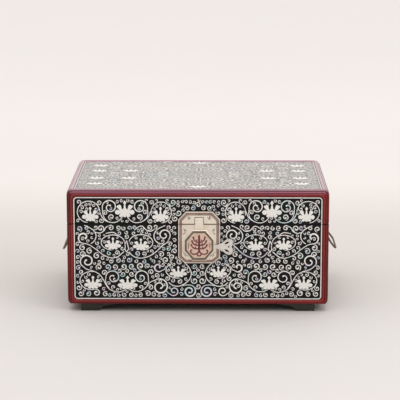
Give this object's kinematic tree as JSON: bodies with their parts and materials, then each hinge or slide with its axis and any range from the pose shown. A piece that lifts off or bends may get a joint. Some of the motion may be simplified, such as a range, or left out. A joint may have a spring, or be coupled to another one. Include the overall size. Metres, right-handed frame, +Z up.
{
  "type": "lacquered jewellery box",
  "caption": "Rectangular lacquered box with a rear-hinged lid, shell-inlaid panels, a front lock with key, side bail handles and bracket feet.",
  "frame": {"origin": "on the floor under the middle of the box", "axes": "+X to the right as seen from the front, +Y to the back, +Z up; the lock is on the -Y side"},
  "size_m": [0.3152, 0.2011, 0.1383],
  "materials": {
    "red_lacquer": "dark red gloss lacquer on wood",
    "black_lacquer": "polished black lacquer with mother-of-pearl inlay on wood",
    "shell": "polished mother-of-pearl",
    "bottom_lacquer": "satin black-brown lacquer on wood",
    "foot_lacquer": "satin black lacquer on wood",
    "lock_metal": "pale satin brass with engraved bands",
    "enamel": "dark red enamel",
    "key_metal": "pale silvery brass",
    "handle_metal": "darkened brass",
    "hinge_metal": "pale satin brass"
  },
  "bodies": {
    "case": {"case_frame": "red_lacquer", "case_front_panel": "black_lacquer", "case_back_panel": "black_lacquer", "case_left_panel": "black_lacquer", "case_right_panel": "black_lacquer", "case_bottom_board": "bottom_lacquer", "foot_front_left": "foot_lacquer", "foot_front_right": "foot_lacquer", "foot_back_left": "foot_lacquer", "foot_back_right": "foot_lacquer", "case_lock_plate": "lock_metal", "lock_case": "lock_metal", "key": "key_metal", "handle_post_left_front": "handle_metal", "handle_post_left_back": "handle_metal", "handle_post_right_front": "handle_metal", "handle_post_right_back": "handle_metal", "hinge_left_case_leaf": "hinge_metal", "hinge_left_pin": "hinge_metal", "hinge_right_case_leaf": "hinge_metal", "hinge_right_pin": "hinge_metal"},
    "lid": {"lid_frame": "red_lacquer", "lid_top_panel": "black_lacquer", "lid_front_panel": "black_lacquer", "lid_back_panel": "black_lacquer", "lid_left_panel": "black_lacquer", "lid_right_panel": "black_lacquer", "lid_lock_plate": "lock_metal", "lock_tongue": "lock_metal", "hinge_left_lid_leaf": "hinge_metal", "hinge_right_lid_leaf": "hinge_metal"},
    "handle_left": {"handle_bail_left": "handle_metal"},
    "handle_right": {"handle_bail_right": "handle_metal"}
  },
  "joints": [
    {"name": "lid_hinge", "type": "hinge", "parent": "case", "child": "lid", "pos_m": [0, 0.0982, 0.0995], "axis": [-1, 0, 0], "range_deg": [0, 100]},
    {"name": "handle_left_swing", "type": "hinge", "parent": "case", "child": "handle_left", "pos_m": [-0.1473, 0, 0.074], "axis": [0, 1, 0], "range_deg": [0, 75]},
    {"name": "handle_right_swing", "type": "hinge", "parent": "case", "child": "handle_right", "pos_m": [0.1473, 0, 0.074], "axis": [0, -1, 0], "range_deg": [-9, 66]}
  ]
}
